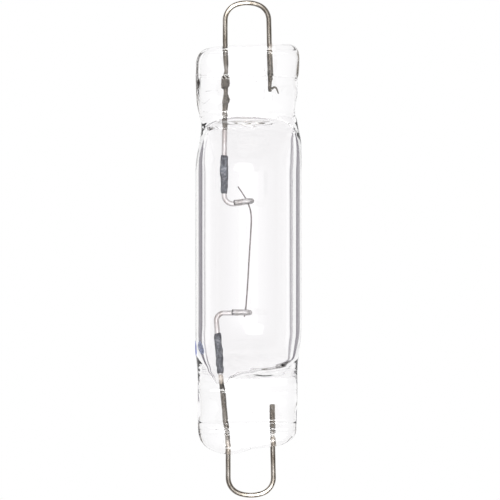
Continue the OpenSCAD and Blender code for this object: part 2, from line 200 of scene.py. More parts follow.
# Collars of glass round the wires at the cut end: X, Y, half width, half length, height
COLLARS = np.array([[-2.05, -17.75, 0.42, 0.30, 0.10], [2.22, -17.1, 0.35, 0.25, 0.05]])
# Where, in distance from the middle, the flats begin, their rims' grooves begin, and the cut end fades
FLATS_FROM = (10.9, 12.0)
RIMS_FROM = (12.2, 13.6)
CUT_FADE = (17.7, 18.3)
LOWER_RIM_SHARE = 0.25


def melt_marks(rings):
    """Slow waves and jaw marks on the flats of both pinches, swirls in the shoulders, a groove beside each
    rim, and a collar of glass where a wire comes out. Waves and swirls are sums of sines of x and y, and
    the rest are bells. All but the collars fade out at the very rim, and the waves at the cut end."""
    x, y, z = rings[..., 0], rings[..., 1], rings[..., 2]
    left, right = x.min(1)[:, None], x.max(1)[:, None]
    inside = smooth_step(x - left, 0.05, 0.5) * smooth_step(right - x, 0.05, 0.5)
    wave = 0.030 * np.sin(1.3 * x + 0.8 * y + 0.6) * np.sin(1.1 * y - 0.7 * x)
    wave += 0.012 * np.sin(2.9 * x - 1.7 * y) + 0.008 * np.sin(4.1 * y + 1.2 * x + 2.0)
    wave *= smooth_step(np.abs(y), *FLATS_FROM)
    rims = 0.080 * bell(x - left, 0.50, 0.26) + 0.032 * bell(right - x, 0.42, 0.22)
    wave -= rims * smooth_step(np.abs(y), *RIMS_FROM) * np.where(y > 0, 1, LOWER_RIM_SHARE)
    for place, height, width, droop in JAW_LINES:
        bend = np.sign(place) * droop * (np.abs(x) / JAW_SIDE_X) ** 4 + 0.05 * np.sin(0.9 * x + place)
        wave += height * bell(y + bend, place, width)
    low = y + 0.16 * (x - 1.0) + 0.35 * bell(x, 1.2, 1.6)
    swirl = 0.030 * np.sin(7.5 * low + 0.8 * np.sin(0.9 * x)) * bell(y, -10.7, 0.60)
    swirl += 0.030 * np.sin(6.3 * y + 1.7 * x + 1.5 * np.sin(1.6 * x)) * bell(y, 11.0, 0.50)
    lift = (wave * (1 - smooth_step(np.abs(y), *CUT_FADE)) + swirl) * inside
    for collar_x, collar_y, wide, long, height in COLLARS:
        lift += height * bell(x, collar_x, wide) * bell(y, collar_y, long)
    out = rings.copy()
    out[..., 2] = z + np.sign(z - AXIS_Z) * lift * smooth_step(np.abs(z - AXIS_Z), 0.2, 0.7)
    return out


# Seeds and creases in the glass: middle X, Y, height over the axis, half length, half width, turn in
# degrees. Those of the upper pinch come first, then those of the lower one.
SEEDS = np.array([
    [-3.58, 14.10, 0.50, 0.17, 0.045, 5], [-3.30, 14.17, 0.55, 0.06, 0.035, -50],
    [-2.78, 14.15, 0.55, 0.07, 0.06, 0], [-2.62, 14.02, 0.50, 0.04, 0.03, 30],
    [-3.60, 13.20, 0.45, 0.34, 0.030, 40], [-3.98, 13.02, 0.45, 0.13, 0.030, -60],
    [-3.05, 13.62, 0.50, 0.05, 0.03, 20], [-2.72, 13.22, 0.50, 0.06, 0.035, 10],
    [-2.48, 12.95, 0.40, 0.09, 0.03, 70], [-3.85, 12.28, 0.40, 0.14, 0.025, -25],
    [-3.62, 12.18, 0.40, 0.07, 0.025, -30], [1.43, 16.05, 0.30, 0.12, 0.03, 85],
    [1.52, 15.55, 0.35, 0.07, 0.04, 60], [1.36, 15.30, 0.30, 0.06, 0.03, 20],
    [1.58, 15.10, 0.40, 0.05, 0.04, 0], [1.40, 13.85, 0.20, 0.42, 0.022, 88],
    [2.08, 13.25, 0.20, 0.50, 0.020, 91], [0.70, 14.95, 0.40, 0.04, 0.03, 0],
    [0.30, 14.30, 0.30, 0.04, 0.025, 40], [-1.15, 13.80, 0.35, 0.035, 0.03, 0],
    [0.95, 14.40, 0.45, 0.03, 0.025, 0], [2.35, 15.45, 0.42, 0.05, 0.03, 10],
    [-2.28, -12.48, 0.38, 0.075, 0.075, 0], [-2.13, -13.68, 0.38, 0.060, 0.055, 0],
    [2.13, -14.22, 0.36, 0.13, 0.07, 90], [2.26, -16.12, 0.36, 0.09, 0.08, 90],
    [-2.76, -16.03, 0.50, 0.13, 0.025, 5], [0.35, -14.60, 0.40, 0.05, 0.03, 60],
    [-0.20, -15.35, 0.45, 0.04, 0.03, 15], [0.82, -15.90, 0.35, 0.10, 0.025, 85],
    [0.10, -16.55, 0.40, 0.13, 0.025, 75], [0.62, -17.05, 0.40, 0.08, 0.04, 10],
    [-2.22, -17.08, 0.40, 0.24, 0.022, 82], [-0.62, -16.20, 0.40, 0.05, 0.025, 80],
    [-3.30, -13.35, 0.40, 0.05, 0.03, 0]])
SEED_SIDES = 12


def seed_rings(row):
    """An ellipsoid of rings along its own length, turned in the plane of the pinches: a ring's radius is
    the root of 1 less the square of its place from -1 to 1."""
    x, y, z, long, wide, turn = row
    t = np.concatenate([[-0.98], np.linspace(-1, 1, 11)[2:-2], [0.98]])
    a = np.arange(SEED_SIDES) * np.pi * 2 / SEED_SIDES
    r = np.sqrt(1 - t ** 2)[:, None]
    u, v, w = long * np.repeat(t[:, None], SEED_SIDES, 1), wide * r * np.cos(a), wide * r * np.sin(a)
    c, s = math.cos(math.radians(turn)), math.sin(math.radians(turn))
    return np.stack([x + u * c - v * s, y + u * s + v * c, AXIS_Z + z + w], -1)


def new_material(name, **sockets):
    """A material with one Principled shader whose named sockets are set, its node tree and the shader."""
    material = bpy.data.materials.new(name)
    material.use_nodes = True
    shader = material.node_tree.nodes["Principled BSDF"]
    for socket, value in sockets.items():
        shader.inputs[socket.replace("_", " ")].default_value = value
    return material, material.node_tree, shader


def noise_on_object(tree, scale, detail, stretch=(1, 1, 1)):
    """Noise on the piece's own coordinates, which are in metres, so the scale is per metre."""
    place = tree.nodes.new("ShaderNodeTexCoord")
    turn = tree.nodes.new("ShaderNodeMapping")
    turn.inputs["Scale"].default_value = stretch
    noise = tree.nodes.new("ShaderNodeTexNoise")
    noise.inputs["Scale"].default_value = scale
    noise.inputs["Detail"].default_value = detail
    tree.links.new(place.outputs["Object"], turn.inputs["Vector"])
    tree.links.new(turn.outputs["Vector"], noise.inputs["Vector"])
    return noise.outputs["Fac"]


def add_bump(tree, shader, height, strength, distance):
    """Bump from a height socket, with its distance in metres."""
    bump = tree.nodes.new("ShaderNodeBump")
    bump.inputs["Strength"].default_value = strength
    bump.inputs["Distance"].default_value = distance
    tree.links.new(height, bump.inputs["Height"])
    tree.links.new(bump.outputs["Normal"], shader.inputs["Normal"])


glass, tree, shader = new_material(
    "clear_lamp_glass", Base_Color=(0.995, 0.99, 0.995, 1), Roughness=0.0, IOR=1.5, Transmission_Weight=1.0)
draw_lines = noise_on_object(tree, 240, 2, (1, 0.15, 1))
add_bump(tree, shader, draw_lines, 0.12, 0.0001)

skin = melt_marks(envelope_rings(UPPER_SKIN, LOWER_SKIN, SKIN_RINGS, SKIN_SIDES, True))
cavity = envelope_rings(UPPER_CAVITY, LOWER_CAVITY, CAVITY_RINGS, CAVITY_SIDES, False)
seeds = [seed_rings(row) for row in SEEDS]
mesh_piece("glass_tube", [skin, cavity, *seeds], glass, "glass_envelope",
           inward=range(1, 2 + len(seeds)))


# Wire loops. Nickel-iron wire with a dull brown-grey oxide, bent to a flat-topped eye outside each pinch.
# The long leg runs right through the pinch to a butt weld on the inner lead, and the short leg ends
# inside the glass. The lower loop's long leg has a slight knee where it leans.
WIRE_R = 0.225
WIRE_SIDES = 28
WIRE_NOSE = 0.06
CORNER_R = 1.48
CORNER_A = math.radians(72)
END_Y = 22.25
LINE_STEP = 0.05
UPPER_LOOP = {"middle": -0.134, "width": 3.9, "weld": (-2.084, 10.58), "short": 14.05, "lean": 0.15,
              "knee": []}
LOWER_LOOP = {"middle": 0.205, "width": 4.05, "weld": (-2.433, -11.08), "short": -13.85, "lean": -0.15,
              "knee": [(-0.053, -16.9), (-0.009, -17.45), (0.0, -18.0)]}

# Lumps of the oxide, and tones, on the long leg and the short leg of each loop: Y, shift to the right,
# radius as a part of the wire's, depth of the pits, how light or dark it is. A tone above 1 is a painted
# highlight: the white breaks over the wire at the glass's edges, the streaks at the eyes' corners and a
# stretch by the lower weld. A tone below 1 is darker, mostly on the lumps.
UPPER_LONG = np.array([
    [10.0, 0.00, 1.00, 0.00, 1.0], [11.9, 0.00, 1.02, 0.05, 0.95], [12.6, 0.02, 1.05, 0.12, 0.95],
    [12.95, 0.03, 1.15, 0.20, 0.85], [13.28, 0.10, 1.40, 0.22, 0.85], [13.6, 0.10, 1.12, 0.15, 0.9],
    [13.95, 0.09, 0.80, 0.10, 1.0], [14.3, 0.09, 0.88, 0.10, 1.0], [14.45, 0.05, 1.42, 0.15, 0.85],
    [14.75, 0.06, 1.66, 0.15, 0.8], [15.1, 0.06, 1.64, 0.12, 0.8], [15.4, 0.06, 1.30, 0.10, 0.85],
    [15.65, 0.10, 0.92, 0.05, 1.0], [15.95, 0.13, 0.84, 0.04, 1.1], [16.3, 0.10, 0.96, 0.03, 1.0],
    [17.0, 0.07, 1.02, 0.02, 1.0], [17.9, 0.03, 1.00, 0.00, 1.0], [18.6, 0.00, 1.00, 0.00, 1.0],
    [19.4, 0.00, 1.00, 0.00, 1.15], [20.4, 0.00, 1.00, 0.00, 1.35], [21.6, 0.00, 1.00, 0.00, 1.35],
    [22.2, 0.00, 1.00, 0.00, 1.0]])
UPPER_SHORT = np.array([
    [13.60, 0.02, 0.25, 0.30, 0.7], [13.85, 0.00, 0.45, 0.30, 0.7], [14.15, -0.05, 0.62, 0.25, 0.7],
    [14.5, -0.08, 0.66, 0.22, 0.7], [14.8, -0.06, 0.72, 0.20, 0.75], [15.1, -0.03, 0.88, 0.25, 0.75],
    [15.45, 0.00, 1.05, 0.35, 0.7], [15.75, 0.01, 1.10, 0.30, 0.8], [16.1, 0.00, 1.08, 0.15, 0.9],
    [17.0, 0.00, 1.05, 0.08, 1.0], [17.8, 0.00, 1.02, 0.02, 1.9], [18.12, 0.00, 1.00, 0.00, 1.8],
    [18.25, 0.00, 1.00, 0.00, 1.0], [18.6, 0.00, 1.00, 0.00, 1.0]])
LOWER_LONG = np.array([
    [-18.6, 0.00, 1.00, 0.00, 1.0], [-18.3, 0.00, 1.00, 0.00, 1.1], [-18.1, 0.00, 1.00, 0.02, 3.0],
    [-17.3, 0.00, 1.00, 0.05, 2.8], [-16.9, 0.00, 1.00, 0.10, 1.2], [-16.3, 0.00, 1.00, 0.10, 1.0],
    [-14.5, 0.00, 1.00, 0.06, 1.0], [-13.4, 0.00, 1.02, 0.14, 0.9], [-12.6, 0.00, 1.00, 0.18, 0.6],
    [-12.1, 0.00, 0.85, 0.10, 0.36], [-11.85, 0.00, 0.90, 0.00, 2.2], [-11.5, 0.00, 0.95, 0.00, 2.8],
    [-11.0, 0.00, 1.00, 0.00, 2.6]])
LOWER_SHORT = np.array([
    [-22.2, 0.00, 1.00, 0.00, 1.0], [-21.6, 0.00, 1.00, 0.00, 1.2], [-20.2, 0.00, 1.00, 0.00, 1.3],
    [-19.0, 0.00, 1.00, 0.00, 1.1], [-18.0, 0.00, 1.00, 0.00, 1.0], [-17.45, 0.00, 1.00, 0.00, 0.7],
    [-17.3, 0.00, 1.00, 0.00, 2.4], [-16.9, 0.00, 1.00, 0.05, 2.2], [-16.6, 0.00, 1.00, 0.10, 1.2],
    [-16.2, 0.00, 1.05, 0.15, 0.7], [-15.5, 0.00, 1.05, 0.12, 1.1], [-14.6, 0.00, 1.08, 0.12, 1.2],
    [-13.8, 0.00, 1.10, 0.10, 1.3]])
TONE_LIMITS = (0.3, 3.2)
# The torn prong at the end of the upper loop's short leg: its line, its radius at both ends, its tone
PRONG = np.array([[2.05, 14.30], [2.22, 14.46], [2.40, 14.42], [2.50, 14.20], [2.60, 13.90]])
PRONG_R = (0.10, 0.05)
PRONG_SIDES = 12
PRONG_TONE = 0.7


def arch_points(loop, up):
    """The eye's line: a corner of CORNER_R, a shallow crown that joins both corners smoothly, a corner."""
    crown = (loop["width"] / 2 - CORNER_R * (1 - math.cos(CORNER_A))) / math.cos(CORNER_A)
    height = CORNER_R * math.sin(CORNER_A) + crown * (1 - math.sin(CORNER_A))
    base = END_Y - WIRE_R - height
    a = np.linspace(math.pi, math.pi - CORNER_A, 14)
    b = np.linspace(math.pi - CORNER_A, CORNER_A, 12)[1:-1]
    left = np.stack([CORNER_R - loop["width"] / 2 + CORNER_R * np.cos(a), CORNER_R * np.sin(a)], -1)
    top = np.stack([crown * np.cos(b), crown * np.sin(b) + (CORNER_R - crown) * math.sin(CORNER_A)], -1)
    right = left[::-1] * [-1, 1]
    arch = np.concatenate([left, top, right])
    return np.stack([loop["middle"] + arch[:, 0], up * (base + arch[:, 1])], -1)


def resample(line, step):
    """Points a steady step apart along a line of corners, and their distances along it."""
    run = np.concatenate([[0], np.cumsum(np.linalg.norm(np.diff(line, axis=0), axis=1))])
    at = np.linspace(0, run[-1], max(2, int(round(run[-1] / step)) + 1))
    return np.stack([np.interp(at, run, line[:, c]) for c in range(line.shape[1])], -1), at


def soften(line, width):
    """A running mean over `width` points, which rounds the corners and keeps both ends."""
    pad = width // 2
    ends = [np.repeat(line[:1], pad, 0) * 2 - line[1:pad + 1][::-1], line,
            np.repeat(line[-1:], pad, 0) * 2 - line[-pad - 1:-1][::-1]]
    padded = np.concatenate(ends)
    kernel = np.ones(width) / width
    return np.stack([np.convolve(padded[:, c], kernel, "valid") for c in range(line.shape[1])], -1)


def on_axis(line):
    """A flat line lifted to the tube's axis."""
    return np.concatenate([line, np.full((len(line), 1), AXIS_Z)], 1)


def wire_skin(line, radius, sides, lobes=1.0):
    """Rings across a line in space: the radius times the lobes, around the line's own direction. The first
    ring starts at its top, or at its right where the line itself starts upwards, and each one after turns
    with the line by the least turn from the ring before, so the skin doesn't twist."""
    tangent = np.gradient(line, axis=0)
    tangent /= np.linalg.norm(tangent, axis=1)[:, None]
    normal = np.zeros_like(line)
    start = np.array([0.0, 0.0, 1.0])
    if abs(tangent[0] @ start) > 0.9:
        start = np.array([1.0, 0.0, 0.0])
    for k in range(len(line)):
        start = start - tangent[k] * (start @ tangent[k])
        start /= np.linalg.norm(start)
        normal[k] = start
    side = np.cross(normal, tangent)
    a = np.arange(sides) * 2 * np.pi / sides
    r = np.broadcast_to(np.asarray(radius, float), (len(line),))[:, None, None]
    r = r * np.broadcast_to(lobes, (len(line), sides))[..., None]
    ring = np.cos(a)[None, :, None] * normal[:, None] + np.sin(a)[None, :, None] * side[:, None]
    return line[:, None] + r * ring


def round_ends(at, radius, nose):
    """The wire's radius along its length, drawn in as a quarter circle over the last `nose` of each end."""
    end = np.minimum(at, at[-1] - at)
    t = np.clip(end / nose, 0, 1)
    return radius * np.sqrt(np.clip(1 - (1 - t) ** 2, 0.09, 1))


def lumpy(line, rows, right_leg):
    """Shifts the line where the rows reach, on the leg asked for, and gives its lobes and tones there, the
    tones with their painted highlights: pits are products of sines along and around the wire."""
    y = line[:, 1]
    on = (y >= rows[0, 0]) & (y <= rows[-1, 0]) & ((line[:, 0] > 0) == right_leg)
    shift, swell, pits, tone = ease_rows(rows, np.clip(y, rows[0, 0], rows[-1, 0])).T
    a = np.arange(WIRE_SIDES) * 2 * np.pi / WIRE_SIDES
    rough = (np.sin(3 * a[None] + 9 * y[:, None]) * np.sin(17 * y[:, None] + 1)
             + 0.7 * np.sin(5 * a[None] - 26 * y[:, None]) + 0.5 * np.sin(2 * a[None] + 39 * y[:, None]))
    lobes = np.where(on[:, None], swell[:, None] * (1 + 0.5 * pits[:, None] * rough), 1)
    line[:, 0] += np.where(on, shift, 0)
    pitted = np.where(on[:, None], 1 + 1.5 * pits[:, None] * rough, 1)
    return lobes, np.where(on, tone, 1)[:, None] * pitted


def loop_stack(loop, up, long_rows, short_rows):
    """The loop's rings and tones. Its line runs from the weld up the long leg, round the eye and down to
    the end of the short leg."""
    leg_x = loop["middle"] - loop["width"] / 2
    knee = np.array([(leg_x + x, y) for x, y in loop["knee"]]).reshape(-1, 2)
    short_end = (loop["middle"] + loop["width"] / 2 + loop["lean"], loop["short"])
    corners = np.concatenate([[loop["weld"]], knee, arch_points(loop, up), [short_end]])
    line, at = resample(corners, LINE_STEP)
    line = on_axis(soften(line, 7))
    long_lobes, long_tones = lumpy(line, long_rows, False)
    short_lobes, short_tones = lumpy(line, short_rows, True)
    rings = wire_skin(line, round_ends(at, WIRE_R, WIRE_NOSE), WIRE_SIDES, long_lobes * short_lobes)
    return rings, np.clip(long_tones * short_tones, *TONE_LIMITS).ravel()


def add_ramp(tree, factor, stops):
    """Colours by factor, from (place, colour) pairs."""
    ramp = tree.nodes.new("ShaderNodeValToRGB")
    while len(ramp.color_ramp.elements) < len(stops):
        ramp.color_ramp.elements.new(0.5)
    for element, (place, colour) in zip(ramp.color_ramp.elements, stops):
        element.position = place
        element.color = (*colour, 1)
    tree.links.new(factor, ramp.inputs["Fac"])
    return ramp.outputs["Color"]


def feed(tree, value, socket):
    """Links a socket from another one, or sets its number or colour."""
    if isinstance(value, bpy.types.NodeSocket):
        tree.links.new(value, socket)
    else:
        socket.default_value = value


def mix_colours(tree, kind, factor, first, second):
    """The second colour mixed into the first, or added to it, or times it."""
    mix = tree.nodes.new("ShaderNodeMix")
    mix.data_type = "RGBA"
    mix.blend_type = kind
    for number, value in ((0, factor), (6, first), (7, second)):
        feed(tree, value, mix.inputs[number])
    return mix.outputs[2]


def vertex_tone(tree):
    """The tone that the piece's vertices carry."""
    tone = tree.nodes.new("ShaderNodeAttribute")
    tone.attribute_name = "tone"
    return tone.outputs["Fac"]


def times_tone(tree, colour, shader):
    """The colour times the vertices' tone, into the shader's base colour."""
    tree.links.new(mix_colours(tree, "MULTIPLY", 1.0, colour, vertex_tone(tree)), shader.inputs["Base Color"])


oxide_and_painted_light, tree, shader = new_material("oxidised_loop_wire_with_painted_light", Metallic=0.95, Roughness=0.24)
patina = noise_on_object(tree, 2200, 6, (1, 0.35, 1))
tint = add_ramp(tree, patina, [
    (0.30, (0.12, 0.10, 0.08)), (0.45, (0.22, 0.195, 0.165)), (0.60, (0.30, 0.275, 0.245)),
    (0.80, (0.46, 0.43, 0.40))])
# The vertices' tone carries painted highlights as well as the oxide's darker lumps.
times_tone(tree, tint, shader)
add_bump(tree, shader, patina, 0.35, 0.00002)

upper_rings, upper_tones = loop_stack(UPPER_LOOP, 1, UPPER_LONG, UPPER_SHORT)
prong = on_axis(soften(resample(PRONG, 0.03)[0], 7))
prong_rings = wire_skin(prong, np.linspace(*PRONG_R, len(prong)), PRONG_SIDES)
prong_tones = np.full(len(prong) * PRONG_SIDES, PRONG_TONE)
mesh_piece("upper_wire_loop", [upper_rings, prong_rings], oxide_and_painted_light, "upper_loop",
           tones=np.concatenate([upper_tones, prong_tones]))
lower_rings, lower_tones = loop_stack(LOWER_LOOP, -1, LOWER_LONG, LOWER_SHORT)
mesh_piece("lower_wire_loop", [lower_rings], oxide_and_painted_light, "lower_loop", tones=lower_tones)


# Inner leads. Bright nickel wire, butt welded to the loop wire, bent across the tube and folded back on
# itself like a hairpin, so that the fold grips the filament. The folded tail lies on top, pressed a
# little wider. A painted sheen runs along each lead's top with painted shade on its flanks, and painted
# shade lies in each fold's outer end, deeper in the upper one.
LEAD_R = 0.23
LEAD_SIDES = 24
LEAD_NOSE = 0.05
FOLD_R = 0.315
ROLL = math.radians(82)
TAIL = 1.3
UPPER_FOLD, UPPER_BEND_R = (-0.027, 4.205), 0.8
LOWER_FOLD, LOWER_BEND_R = (-0.206, -5.725), 0.68
UPPER_LEAN = math.radians(1)
UPPER_TILT = math.radians(7.5)
LOWER_LEAN = math.radians(5.5)
# How deep the painted shade in each fold's outer end is.
UPPER_FOLD_SHADE, LOWER_FOLD_SHADE = 0.62, 0.2


def lead_line(weld, fold, bend_r, heading, arm_heading):
    """Straight from the weld along `heading`, round a bend of bend_r, straight along `arm_heading` to the
    fold, half a turn of FOLD_R towards the top, and straight back for the tail."""
    weld, fold = np.array(weld), np.array(fold)
    h = np.array([math.cos(heading), math.sin(heading)])
    g = np.array([math.cos(arm_heading), math.sin(arm_heading)])
    corner = weld + h * np.linalg.solve(np.stack([h, -g], 1), fold - weld)[0]
    turn = math.acos(h @ g)
    start = corner - h * bend_r * math.tan(turn / 2)
    side = (g - h * (h @ g)) / math.sin(turn)
    a = np.linspace(0, 1, 16)[:, None]
    bend = start + bend_r * (np.sin(a * turn) * h + (1 - np.cos(a * turn)) * side)
    flat = on_axis(np.concatenate([[weld], bend, [fold]]))
    along = np.array([*g, 0.0])
    across = np.array([-g[1], g[0], 0.0]) * math.cos(ROLL) + np.array([0, 0, 1.0]) * math.sin(ROLL)
    b = np.linspace(0, math.pi, 18)[1:, None]
    pin = flat[-1] + FOLD_R * (np.sin(b) * along + (1 - np.cos(b)) * across)
    line, at = resample(np.concatenate([flat, pin, [pin[-1] - along * TAIL]]), LINE_STEP)
    return soften(line, 3), at


def lead_piece(name, node, line, at, fold_shade):
    """A lead's rings and tones: a painted sheen along its top with painted shade on its flanks, painted shade
    at the fold, darker at the tail's end and where it is pressed, with pits from products of sines along
    and around it, deepest on the hairpin."""
    back = at[-1] - at
    a = np.arange(LEAD_SIDES) * np.pi * 2 / LEAD_SIDES
    # Painted sheen along the top and painted shade on the flanks; then painted shade at the fold, and darker at
    # the tail's end and over the pressed tail.
    top = 0.33 + 0.67 * np.abs(np.cos(a)) ** 0.7
    painted_fold_shade_and_dark_tail = (1 - 0.62 * bell(back, 0.05, 0.09) - fold_shade * bell(back, TAIL + math.pi * FOLD_R / 2, 0.3)
            - 0.25 * smooth_step(-back, -1.9, -1.5))
    rough = 0.10 + 0.16 * smooth_step(-back, -3.2, -2.2)[:, None]
    pits = 1 + rough * np.sin(23 * at[:, None] + 2 * a) * np.sin(31 * at[:, None] - 3 * a)
    press = 1 + 0.10 * smooth_step(-back, -1.5, -1.3)[:, None] * np.abs(np.sin(a)) ** 2
    rings = wire_skin(line, round_ends(at, LEAD_R, LEAD_NOSE), LEAD_SIDES, press)
    mesh_piece(name, [rings], nickel, node, tones=top[None] * painted_fold_shade_and_dark_tail[:, None] * pits)


nickel, tree, shader = new_material("nickel_lead_with_painted_light", Metallic=0.95, Roughness=0.28)
draw_marks = noise_on_object(tree, 2600, 4, (1, 0.2, 1))
tint = add_ramp(tree, draw_marks, [
    (0.32, (0.66, 0.60, 0.58)), (0.5, (0.88, 0.85, 0.84)), (0.68, (1.0, 0.98, 0.98))])
# The vertices' tone carries the painted sheen and shade, and the pits.
times_tone(tree, tint, shader)
add_bump(tree, shader, draw_marks, 0.25, 0.00002)

upper_lead, upper_at = lead_line(
    UPPER_LOOP["weld"], UPPER_FOLD, UPPER_BEND_R, -math.pi / 2 - UPPER_LEAN, UPPER_TILT)
lower_lead, lower_at = lead_line(
    LOWER_LOOP["weld"], LOWER_FOLD, LOWER_BEND_R, math.pi / 2 + LOWER_LEAN, 0.0)
lead_piece("upper_inner_lead", "upper_lead", upper_lead, upper_at, UPPER_FOLD_SHADE)
lead_piece("lower_inner_lead", "lower_lead", lower_lead, lower_at, LOWER_FOLD_SHADE)


# Getter coats. A lumpy blue-grey powder coat, brushed on the inner leads' straight runs and fired, with
# one swelling on the upper lead and thin ragged ends.
COAT_RINGS, COAT_SIDES = 90, 40
# Distance from the weld, shift of the coat's middle, thickness
UPPER_COAT = np.array([
    [2.34, 0.00, 0.03], [2.44, 0.01, 0.085], [2.70, 0.00, 0.095], [2.95, 0.01, 0.10], [3.25, 0.03, 0.125],
    [3.55, 0.05, 0.145], [3.85, 0.04, 0.14], [4.15, 0.01, 0.115], [4.5, 0.00, 0.09], [4.9, -0.01, 0.085],
    [5.2, 0.01, 0.08], [5.45, 0.00, 0.06], [5.62, 0.00, 0.02]])
LOWER_COAT = np.array([
    [0.24, 0.00, 0.03], [0.34, 0.00, 0.06], [0.65, 0.01, 0.07], [1.0, -0.01, 0.08], [1.35, 0.01, 0.09],
    [1.7, -0.01, 0.09], [2.05, 0.01, 0.105], [2.4, 0.00, 0.095], [2.75, -0.01, 0.08], [3.1, 0.01, 0.09],
    [3.4, 0.02, 0.10], [3.52, 0.01, 0.07], [3.6, 0.00, 0.02]])


def coat_skin(line, at, rows, lean):
    """A sleeve over the part of a lead's line that the rows span, as thick as they say, with lumps from
    products of sines along and around it. `lean` is 1 where the shift goes right and -1 where left."""
    s = np.linspace(rows[0, 0], rows[-1, 0], COAT_RINGS)
    core = np.stack([np.interp(s, at, line[:, c]) for c in range(3)], -1)
    shift, cover = ease_rows(rows, s).T
    core[:, 0] += lean * shift
    a = np.arange(COAT_SIDES) * 2 * np.pi / COAT_SIDES
    lumps = (0.022 * np.sin(3 * a[None] + 4.1 * s[:, None]) * np.sin(5.3 * s[:, None] + 1.0)
             + 0.012 * np.sin(5 * a[None] - 7.7 * s[:, None]) + 0.010 * np.sin(11 * s[:, None] + 2 * a[None]))
    return wire_skin(core, LEAD_R + cover, COAT_SIDES, 1 + lumps)


def coat_tones(rows, highlight_at, pale):
    """Painted shade on the flanks, darker towards both ends, and one painted highlight on one side part of the
    way along, all of them bells.
    """
    s = np.linspace(rows[0, 0], rows[-1, 0], COAT_RINGS)[:, None]
    a = (np.arange(COAT_SIDES) * 2 * np.pi / COAT_SIDES)[None]
    ends = 1 - 0.35 * bell(s, rows[0, 0], 0.2) - 0.3 * bell(s, rows[-1, 0], 0.2)
    # A painted highlight on one side part of the way along, and painted shade on the flanks.
    painted_highlight = 1 + pale * bell(s, highlight_at, 0.35) * np.clip(np.cos(a + 0.5), 0, 1)
    return ends * painted_highlight * (0.62 + 0.38 * np.abs(np.cos(a)))


getter, tree, shader = new_material("fired_getter_coat_with_painted_light", Roughness=0.7, Metallic=0.25)
grain = noise_on_object(tree, 5200, 6)
tint = add_ramp(tree, grain, [
    (0.30, (0.09, 0.10, 0.115)), (0.5, (0.19, 0.20, 0.225)), (0.72, (0.36, 0.37, 0.40))])
# The vertices' tone carries the painted shade and highlight.
times_tone(tree, tint, shader)
add_bump(tree, shader, grain, 0.8, 0.00004)

mesh_piece("upper_getter_coat", [coat_skin(upper_lead, upper_at, UPPER_COAT, -1)], getter,
           "upper_getter", tones=coat_tones(UPPER_COAT, 3.5, 1.1))
mesh_piece("lower_getter_coat", [coat_skin(lower_lead, lower_at, LOWER_COAT, 1)], getter,
           "lower_getter", tones=coat_tones(LOWER_COAT, 3.0, 0.5))


# Filament. Fine tungsten wire wound in a long thin coil, gripped in both folds, with a short free end
# beyond each: the upper one leans away to the left.
COIL_R = 0.058
COIL_TURNS = 190
POINTS_A_TURN = 12
STRAND_R = 0.022
STRAND_SIDES = 6
# The coil's middle line: Y, X
FILAMENT_LINE = np.array([
    [-6.055, -0.366], [-5.725, -0.306], [-5.099, -0.224], [-3.938, -0.130], [-2.746, -0.054],
    [-1.356, 0.030], [-0.065, 0.107], [1.226, 0.190], [2.219, 0.245], [2.914, 0.250], [3.411, 0.190],
    [3.808, 0.070], [4.205, -0.087], [4.505, -0.237], [5.055, -0.587], [5.575, -0.937]])

tungsten, tree, shader = new_material("drawn_tungsten_coil", Metallic=0.8, Roughness=0.38)
strand = noise_on_object(tree, 3000, 3)
tint = add_ramp(tree, strand, [(0.35, (0.26, 0.21, 0.21)), (0.65, (0.44, 0.38, 0.39))])
tree.links.new(tint, shader.inputs["Base Color"])

# The coil's x and z are its middle line's, plus the cosine and sine of its turn times its radius
y = np.linspace(FILAMENT_LINE[0, 0], FILAMENT_LINE[-1, 0], COIL_TURNS * POINTS_A_TURN)
bow = soften(np.interp(y, FILAMENT_LINE[:, 0], FILAMENT_LINE[:, 1])[:, None], 5 * POINTS_A_TURN + 1)[:, 0]
turn = np.linspace(0, COIL_TURNS * 2 * np.pi, len(y))
coil = np.stack([bow + COIL_R * np.cos(turn), y, AXIS_Z + FOLD_R + COIL_R * np.sin(turn)], -1)
mesh_piece("coiled_filament", [wire_skin(coil, STRAND_R, STRAND_SIDES)], tungsten, "filament")


# Ink mark. A dab of blue marking ink on the tube's left side near its lower end, a hair thick, with
# thinner edges. It lies on the glass and wraps round towards the top. Its face against the glass is paler.
MARK_Y = -8.9
MARK_R = 0.70
MARK_Z = AXIS_Z + 0.15
MARK_RINGS, MARK_SIDES = 14, 48
INK_THICK, INK_RIM, INK_SINK = 0.014, 0.002, 0.02
INNER_TONE, OUTER_TONE = 0.8, 0.0


def ink_dab():
    """A round dab on the tube's side: at each point of a disc in Y and Z, x is the skin's own x there, less
    the ink's thickness, which falls almost to nothing at the rim."""
    t = np.linspace(0.02, 1, MARK_RINGS)
    a = np.arange(MARK_SIDES) * 2 * np.pi / MARK_SIDES
    wobble = 1 + 0.05 * np.sin(3 * a + 0.5) + 0.03 * np.sin(7 * a)
    r = MARK_R * t[:, None] * wobble[None]
    y, z = MARK_Y + r * np.cos(a), MARK_Z + r * np.sin(a)
    cols = ease_rows(LOWER_SKIN, (y + GLASS_Y).ravel())
    left, right, blend, thin, square = cols.T.reshape(5, *y.shape)
    half = blend * TUBE_R + (1 - blend) * thin * PINCH_HALF
    bulge = np.clip(1 - (np.abs(z - AXIS_Z) / half) ** square, 0, 1)
    x = (right - left) / 2 * TUBE_R - (right + left) / 2 * TUBE_R * bulge ** (1 / square)
    thick = INK_THICK * (1 - (t[:, None] ** 6)) + INK_RIM
    outer = np.stack([x - thick, y, z], -1)
    inner = np.stack([x + INK_SINK, y, z], -1)
    return np.concatenate([inner, outer[::-1]])


def maths(tree, operation, *values):
    """A Math node over sockets or numbers, and its result."""
    node = tree.nodes.new("ShaderNodeMath")
    node.operation = operation
    for socket, value in zip(node.inputs, values):
        feed(tree, value, socket)
    return node.outputs[0]


